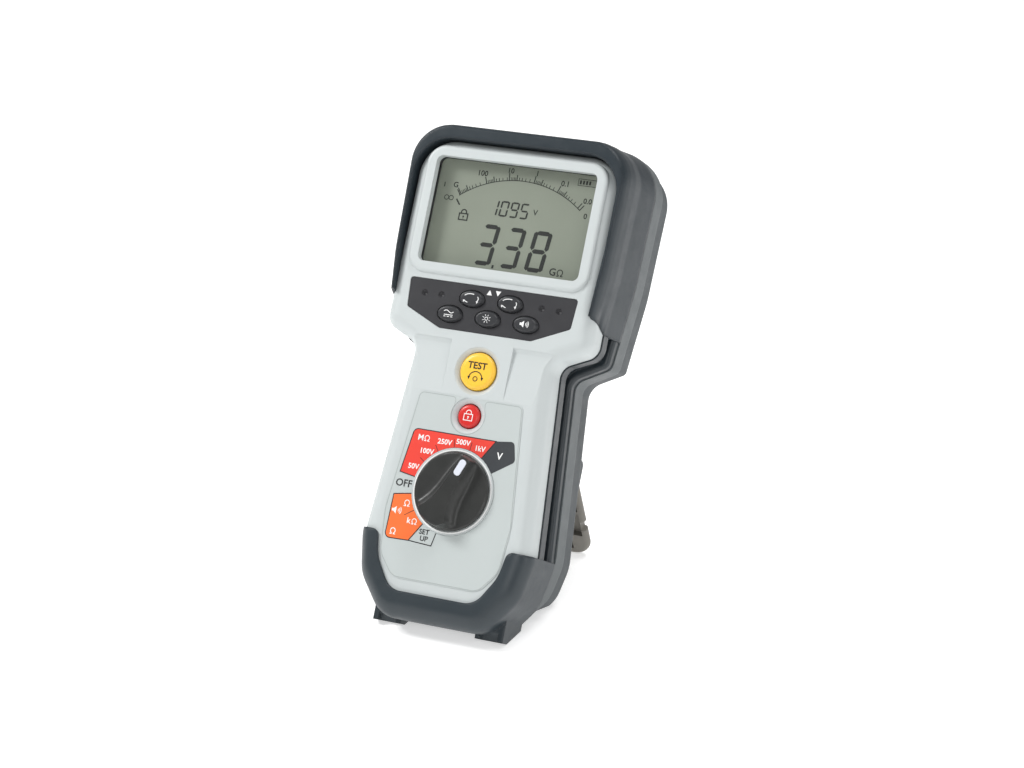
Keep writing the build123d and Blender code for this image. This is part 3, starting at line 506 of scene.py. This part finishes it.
label_edge = rounded([
    (-24.9, 42.1, 2.2), (-7.0, 42.1, 1.6), (-7.6, 37.9, 0.0), *round_lock,
    (7.6, 37.9, 0.0), (7.0, 42.1, 1.6), (24.9, 42.1, 2.2),
    (30.7, -12.0, 12.0), (28.9, -31.8, 10.0), (21.1, -41.5, 7.0),
    (-21.1, -41.5, 7.0), (-28.9, -31.8, 10.0), (-30.7, -12.0, 12.0),
])
label_piece("label_edge_line", INK_GREY, EDGE_PRINT, (stroke, label_edge, 0.26, True))
label_piece(
    "black_legends", INK_BLACK, OVER_FIELD,
    (text, "OFF", -24.2, 0.1, 4.6, 0.06),
    (text, "SET", -9.7, -19.9, 3.2, 0.05),
    (text, "UP", -9.3, -22.9, 3.2, 0.05),
)


label_piece(
    "white_legends", INK_WHITE, OVER_FIELD,
    (text, "M", -20.4, 21.6, 3.7, 0.07),
    (omega, -17.3, 20.3, 2.7),
    (text, "50V", -21.2, 8.3, 3.3, 0.07),
    (text, "100V", -16.3, 15.9, 3.3, 0.07),
    (text, "250V", -8.5, 21.3, 3.3, 0.07),
    (text, "500V", 0.4, 22.4, 3.3, 0.07),
    (text, "1kV", 8.9, 20.8, 3.3, 0.07),
    (text, "V", 18.9, 18.9, 4.4, 0.07),
    (omega, -20.7, -9.9, 2.9),
    (speaker, -24.9, -12.2, 5.0),
    (text, "k", -18.3, -16.0, 3.6, 0.07),
    (omega, -15.5, -17.4, 2.7),
    (omega, -24.9, -23.2, 2.9),
    (ring_line, KNOB_RADIUS + 0.85, 0.62),
)

# ---- knob ----
KNOB_ROWS = 72
RIM_ROUND = 0.9
END_START = 0.45           # the ridge's end rises from here, measured in from the rim
END_LENGTH = 0.95
# Distance along the ridge, and half widths of its top and foot there.
RIDGE = [
    (-17.75, 9.2, 13.6), (-14.0, 8.0, 12.6), (-10.0, 5.6, 10.6), (-6.0, 4.2, 8.9),
    (-1.0, 3.2, 7.7), (4.0, 2.9, 7.2), (10.0, 2.9, 6.2), (17.75, 2.4, 3.9),
]


def ridge_widths(v):
    """Half widths of the ridge's top and of its foot at a distance v along it."""
    for (low, top_a, foot_a), (high, top_b, foot_b) in zip(RIDGE, RIDGE[1:]):
        if v <= high:
            t = (v - low) / (high - low)
            return top_a + (top_b - top_a) * t, foot_a + (foot_b - foot_a) * t
    return RIDGE[-1][1:]


def knob_height(u, v, top, foot):
    """Height of the knob's face: a rounded disc with a ridge that has scooped sides."""
    inside = max(KNOB_RADIUS - math.hypot(u, v), 0.0)
    disc = KNOB_DISC_Z
    if inside < RIM_ROUND:
        disc += math.sqrt(max(RIM_ROUND ** 2 - (RIM_ROUND - inside) ** 2, 0.0)) - RIM_ROUND
    across = min(max((abs(u) - top) / (foot - top), 0.0), 1.0)
    end = min(max((inside - END_START) / END_LENGTH, 0.0), 1.0)
    end = end * end * (3 - 2 * end)
    return disc + (KNOB_TOP_Z - disc) * (1 - across) ** 2 * end


def knob_face():
    """The knob as rows across the ridge, whose columns follow the ridge's two creases."""
    bm = bmesh.new()
    grid = []
    for i in range(KNOB_ROWS + 1):
        v = -(KNOB_RADIUS - 0.02) * math.cos(math.pi * i / KNOB_ROWS)
        top, foot = ridge_widths(v)
        chord = math.sqrt(KNOB_RADIUS ** 2 - v ** 2)
        top, foot = min(top, 0.6 * chord), min(foot, 0.86 * chord)
        half = [0.0, top * 0.5, top * 0.92, top]
        half += [top + (foot - top) * t for t in (0.06, 0.14, 0.25, 0.38, 0.52, 0.68, 0.84, 1.0)]
        half += [foot + (chord - foot) * t for t in (0.3, 0.55, 0.72, 0.84, 0.92, 0.97, 1.0)]
        us = [-u for u in half[:0:-1]] + half
        grid.append([bm.verts.new((u, v, knob_height(u, v, top, foot))) for u in us])
    for lower, upper in zip(grid, grid[1:]):
        for j in range(len(lower) - 1):
            bm.faces.new((lower[j], lower[j + 1], upper[j + 1], upper[j]))
    loop = grid[0] + [row[-1] for row in grid[1:-1]] + grid[-1][::-1] + [row[0] for row in grid[-2:0:-1]]
    base = [bm.verts.new((v.co.x, v.co.y, KNOB_BASE_Z)) for v in loop]
    for i in range(len(loop)):
        j = (i + 1) % len(loop)
        bm.faces.new((loop[i], base[i], base[j], loop[j]))
    bm.faces.new(base)
    at_rest = Matrix.Rotation(math.radians(KNOB_TURN), 3, "Z")
    bmesh.ops.rotate(bm, verts=bm.verts, matrix=at_rest)
    knob = add_piece("selector_knob", bm, "selector", KNOB, smooth=True)
    knob.data.set_sharp_from_angle(angle=math.radians(24))
    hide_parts("knob")


knob_face()

# ---- buttons ----
TEST_PRINT = (0.5, 0.68)
LOCK_PRINT = (-0.3, -0.14)
DIAL_Y = TEST_Y - 3.6      # the centre of the small dial sign

ink_piece(
    "test_legend", "test_button", "yellow_plastic", INK_BLACK, TEST_PRINT,
    (text, "TEST", 0.0, TEST_Y + 2.3, 4.3, 0.08),
    (stroke, arc((0, DIAL_Y), 3.3, 12, 168, 20), 0.42),
    (stroke, arc((0, DIAL_Y), 1.0, 0, 340, 17), 0.36, True),
    (plate, [(2.6, DIAL_Y + 0.9), (3.9, DIAL_Y + 0.9), (3.2, DIAL_Y - 0.6)]),
    (plate, [(-2.6, DIAL_Y + 0.9), (-3.2, DIAL_Y - 0.6), (-3.9, DIAL_Y + 0.9)]),
)
ink_piece(
    "lock_legend", "lock_button", "red_plastic", INK_WHITE, LOCK_PRINT,
    (padlock, 0, LOCK_Y - 0.3, 4.1, 0.34),
)

# ---- keypad ----
KEY_PRINT = (KEY_TOP_Z - 0.06, KEY_TOP_Z + 0.03)
PANEL_PRINT = (-0.24, -0.15)


def oval_arrow(bm, layer, x, y):
    """An oval line in three parts, with two arrow heads."""
    for start, end in ((150, 70), (30, -40), (210, 250)):
        stroke(bm, layer, arc((x, y), 3.7, start, end, 12, 0.56), 0.34)
    for side in (-1, 1):
        tip_x, tip_y = x + side * 3.2, y - 1.4
        head = [(tip_x - 0.5, tip_y + 0.4), (tip_x + 0.1 * side, tip_y - 0.7), (tip_x + 0.6, tip_y + 0.3)]
        plate(bm, layer, head)


def sun(bm, layer, x, y):
    """The backlight sign."""
    stroke(bm, layer, arc((x, y), 0.7, 0, 342, 19), 0.24, True)
    for i in range(8):
        turn = math.radians(45 * i + 22.5)
        ray = [(x + r * math.cos(turn), y + r * math.sin(turn)) for r in (1.2, 2.05)]
        stroke(bm, layer, ray, 0.22)


def wave_sign(bm, layer, x, y):
    """The sign for alternating and direct current."""
    line = 0.32
    steps = [(x - 2.4 + 0.3 * i, math.radians(22.5 * i)) for i in range(17)]
    stroke(bm, layer, [(wave_x, y + 0.8 + 0.55 * math.sin(turn)) for wave_x, turn in steps], line)
    stroke(bm, layer, [(x - 2.2, y - 0.7), (x + 2.2, y - 0.7)], line)
    for dash in (-1.7, 0.0, 1.7):
        stroke(bm, layer, [(x + dash - 0.5, y - 1.5), (x + dash + 0.5, y - 1.5)], line)


def speaker_sign(bm, layer, x, y):
    speaker(bm, layer, x, y, 4.6)


KEY_SIGNS = {
    "upper_left_key": oval_arrow,
    "upper_right_key": oval_arrow,
    "lower_left_key": wave_sign,
    "lower_middle_key": sun,
    "lower_right_key": speaker_sign,
}
for name, (x, y) in KEYS.items():
    sign = name.replace("_key", "_sign")
    ink_piece(sign, name, "key_rubber", INK_WHITE, KEY_PRINT, (KEY_SIGNS[name], x, y))
ink_piece(
    "arrow_signs", "instrument", "keypad_plastic", INK_WHITE, PANEL_PRINT,
    (plate, [(-2.9, 89.7), (-0.3, 89.7), (-1.6, 92.0)]),
    (plate, [(1.3, 92.0), (2.6, 89.7), (3.9, 92.0)]),
)

DIMPLES = [(24.7, 87.0), (33.0, 86.8)]
DIMPLE_RADIUS = 1.48
DIMPLE_RINGS = [(1.0, -0.24), (0.92, -0.5), (0.75, -0.85), (0.5, -1.12), (0.25, -1.24)]
DIMPLE_BASE_Z = -1.7


def dimple(bm, x, y):
    """A shallow dark dish that lines one of the panel's holes."""
    around = 28
    turns = [2 * math.pi * i / around for i in range(around)]
    loops = []
    for share, z in DIMPLE_RINGS:
        radius = share * DIMPLE_RADIUS
        ring = [(x + radius * math.cos(turn), y + radius * math.sin(turn), z) for turn in turns]
        loops.append([bm.verts.new(place) for place in ring])
    base = [bm.verts.new((v.co.x, v.co.y, DIMPLE_BASE_Z)) for v in loops[0]]
    for upper, lower in list(zip(loops, loops[1:])) + [(base, loops[0])]:
        for i in range(around):
            j = (i + 1) % around
            bm.faces.new((upper[i], upper[j], lower[j], lower[i]))
    bm.faces.new(loops[-1])
    bm.faces.new(base)


bm = bmesh.new()
for side in (-1, 1):
    for x, y in DIMPLES:
        dimple(bm, side * x, y)
add_piece("panel_dimples", bm, "instrument", PANEL, smooth=True)

# ---- display ----
GLASS_PRINT = (-5.12, -5.07)
SLANT = 0.10
SEGMENTS = {"0": "abcdef", "1": "bc", "3": "abcdg", "5": "acdfg", "8": "abcdefg", "9": "abcdfg"}
SCALE_CENTRE = (1.7, 94.6)
SCALE_RADIUS = 49.3
SCALE_END = 37.3
MAJORS = (-36.0, -20.8, -8.0, 6.2, 20.6)
MINORS = (0.0, 1.0, 1.9, 2.7, 3.5, 4.3, 5.6, 7.2, 9.2, 11.6)
TICK, TICK_TALL, TICK_TALLEST = 1.5, 2.6, 3.4
SCALE_LETTERS = [
    ("1", -36.3, 138.0, 3.0), ("G", -30.7, 138.4, 3.5), ("100", -18.7, 145.2, 3.5),
    ("10", -5.2, 147.9, 3.3), ("1", 7.9, 148.1, 3.3), ("0.1", 22.2, 145.0, 3.5),
    ("0.01", 35.2, 138.3, 3.4), ("0", 34.6, 131.5, 3.4),
]


def digit(bm, layer, character, x, y, width, height, line):
    """One seven-segment digit, with its lower left corner at x, y."""
    gap = line * 0.12
    middle = height / 2
    t = line / 2

    def point(u, v):
        return (x + u + SLANT * v, y + v)

    def level(v_middle):
        """A level segment with pointed ends."""
        ends = [
            (t, 0), (2 * t, t), (width - 2 * t, t),
            (width - t, 0), (width - 2 * t, -t), (2 * t, -t),
        ]
        return [point(u + (gap if u < width / 2 else -gap), v_middle + v) for u, v in ends]

    def upright(u_middle, low):
        """An upright segment with pointed ends."""
        high = low + middle
        ends = [
            (0, low + t * 0.4), (t, low + 1.4 * t), (t, high - 1.4 * t),
            (0, high - t * 0.4), (-t, high - 1.4 * t), (-t, low + 1.4 * t),
        ]
        return [point(u_middle + u, v) for u, v in ends]

    shapes = {
        "a": level(height - t), "g": level(middle), "d": level(t),
        "b": upright(width - t, middle), "c": upright(width - t, 0.0),
        "f": upright(t, middle), "e": upright(t, 0.0),
    }
    for segment in SEGMENTS[character]:
        plate(bm, layer, shapes[segment])


def number(bm, layer, digits, x, y, pitch, width, height, line):
    for i, character in enumerate(digits):
        digit(bm, layer, character, x + pitch * i, y, width, height, line)


def scale_point(angle, radius):
    """A point above the display's scale, at this angle clockwise from its top."""
    turn = math.radians(angle)
    return (SCALE_CENTRE[0] + radius * math.sin(turn), SCALE_CENTRE[1] + radius * math.cos(turn))


def tick(bm, layer, angle, height, width):
    """One line that stands on the display's scale."""
    stroke(bm, layer, [scale_point(angle, SCALE_RADIUS + r) for r in (0.0, height)], width)


def scale_line(bm, layer):
    steps = 24                 # on each side of the top
    turns = [SCALE_END * (i / steps - 1) for i in range(2 * steps + 1)]
    stroke(bm, layer, [scale_point(turn, SCALE_RADIUS) for turn in turns], 0.38)


def scale_ticks(bm, layer):
    """Lines that crowd together as they near each decade, as on a logarithmic scale."""
    for major in MAJORS:
        for k, step in enumerate(MINORS):
            height = {0: TICK_TALLEST, 5: TICK_TALL}.get(k, TICK)
            tick(bm, layer, major + step, height, 0.34 if height == TICK else 0.46)
    for angle in (SCALE_END - 0.4, SCALE_END - 2.0, 0.6 - SCALE_END):
        tick(bm, layer, angle, 3.0, 0.46)


def scale_letters(bm, layer):
    for words, x, y, size in SCALE_LETTERS:
        text(bm, layer, words, x, y, size, 0.07)


def endless_sign(bm, layer, x, y):
    """The sign for a reading beyond the scale, and the pointer beside it."""
    for side in (-1, 1):
        stroke(bm, layer, arc((x + side * 1.15, y), 1.05, 0, 340, 17), 0.34, True)
    stroke(bm, layer, [(x + 3.9, y - 0.2), (x + 6.0, y - 2.8)], 0.7)


def battery_sign(bm, layer):
    left, right, low, high = 28.2, 37.0, 145.2, 148.2
    tip = [(right, low + 0.7), (right + 0.7, low + 0.7), (right + 0.7, low + 2.1), (right, low + 2.1)]
    stroke(bm, layer, [(left, low), (right, low), *tip, (right, high), (left, high)], 0.26, True)
    for i in range(4):
        plate(bm, layer, rectangle(left + 1.15 + 1.5 * i, low, 0.45, 0.6, 2.4))


ink_piece(
    "display_segments", "instrument", "display_panel", SEGMENT, GLASS_PRINT,
    (number, "1095", -12.3, 126.6, 5.0, 4.1, 7.3, 0.82),
    (number, "338", -15.4, 103.4, 12.8, 9.0, 19.0, 2.0),
    (plate, [(-5.5, 102.6), (-4.5, 102.6), (-4.4, 104.2), (-5.4, 104.2)]),
    (text, "V", 10.5, 130.2, 3.6, 0.06),
    (text, "G", 24.3, 104.6, 4.7, 0.08),
    (omega, 27.9, 103.0, 3.2, 0.44),
    (scale_line,),
    (scale_ticks,),
    (scale_letters,),
    (endless_sign, -33.0, 132.3),
    (padlock, -24.1, 124.6, 4.2, 0.62),
    (battery_sign,),
)


# ---- floor, light and camera ----
FLOOR_Z = -0.0002
LIT_POINT = Vector((0.0, 0.0, 0.11))
# Each soft box's name, place in metres, size in metres and power in watts.
SOFT_BOXES = [
    ("key_light", (-1.15, -0.45, 1.25), (0.5, 0.5), 21.0),
    ("front_light", (0.5, -1.6, 0.9), (0.8, 0.5), 6.0),
    ("top_light", (0.35, 0.3, 1.3), (0.9, 0.3), 8.0),
    ("side_light", (1.3, -0.3, 0.5), (0.16, 0.9), 3.0),
]


def soft_light(name, place, size, power):
    """A rectangular soft box that faces the instrument's middle."""
    lamp = bpy.data.lights.new(name, "AREA")
    lamp.shape = "RECTANGLE"
    lamp.size, lamp.size_y = size
    lamp.energy = power
    holder = bpy.data.objects.new(name, lamp)
    holder.location = place
    holder.rotation_euler = (LIT_POINT - Vector(place)).to_track_quat("-Z", "Y").to_euler()
    SCENE.collection.objects.link(holder)


def studio():
    """A wide pale floor, a pale room and four soft boxes."""
    bm = bmesh.new()
    bmesh.ops.create_grid(bm, x_segments=1, y_segments=1, size=6.0)
    mesh = bpy.data.meshes.new("studio_floor")
    bm.to_mesh(mesh)
    bm.free()
    floor = bpy.data.objects.new("studio_floor", mesh)
    SCENE.collection.objects.link(floor)
    floor.location.z = FLOOR_Z
    material = bpy.data.materials.new("pale_floor")
    material.use_nodes = True
    shader = material.node_tree.nodes["Principled BSDF"]
    shader.inputs["Base Color"].default_value = (0.85, 0.85, 0.85, 1.0)
    shader.inputs["Roughness"].default_value = 0.9
    shader.inputs["Specular IOR Level"].default_value = 0.0
    shader.inputs["Emission Color"].default_value = (1.0, 1.0, 1.0, 1.0)
    shader.inputs["Emission Strength"].default_value = 0.5
    mesh.materials.append(material)
    world = bpy.data.worlds.new("pale_room")
    SCENE.world = world
    world.use_nodes = True
    background = world.node_tree.nodes["Background"]
    background.inputs["Color"].default_value = (1.0, 1.0, 1.0, 1.0)
    background.inputs["Strength"].default_value = 0.28
    for lamp in SOFT_BOXES:
        soft_light(*lamp)


CAMERA_TURN = math.radians(24.5)
CAMERA_RISE = math.radians(20.0)
CAMERA_DISTANCE = 1.280
CAMERA_SIDE = 0.0263       # how far the view's middle is right of the selector
CAMERA_LIFT = 0.04796      # and above it
LENS = 101.25


def camera():
    """The camera, placed by its angles round the selector's centre."""
    back = Vector((
        math.sin(CAMERA_TURN) * math.cos(CAMERA_RISE),
        -math.cos(CAMERA_TURN) * math.cos(CAMERA_RISE),
        math.sin(CAMERA_RISE),
    ))
    side = Vector((math.cos(CAMERA_TURN), math.sin(CAMERA_TURN), 0.0))
    lift = back.cross(side)
    lens = bpy.data.cameras.new("camera")
    lens.lens = LENS
    lens.sensor_width = 36.0
    holder = bpy.data.objects.new("camera", lens)
    SCENE.collection.objects.link(holder)
    turn = Matrix((side, lift, back)).transposed().to_4x4()
    place = Vector(SELECTOR["pos_m"]) + side * CAMERA_SIDE + lift * CAMERA_LIFT + back * CAMERA_DISTANCE
    holder.matrix_world = Matrix.Translation(place) @ turn
    SCENE.camera = holder


studio()
camera()
SCENE.view_settings.view_transform = "Standard"
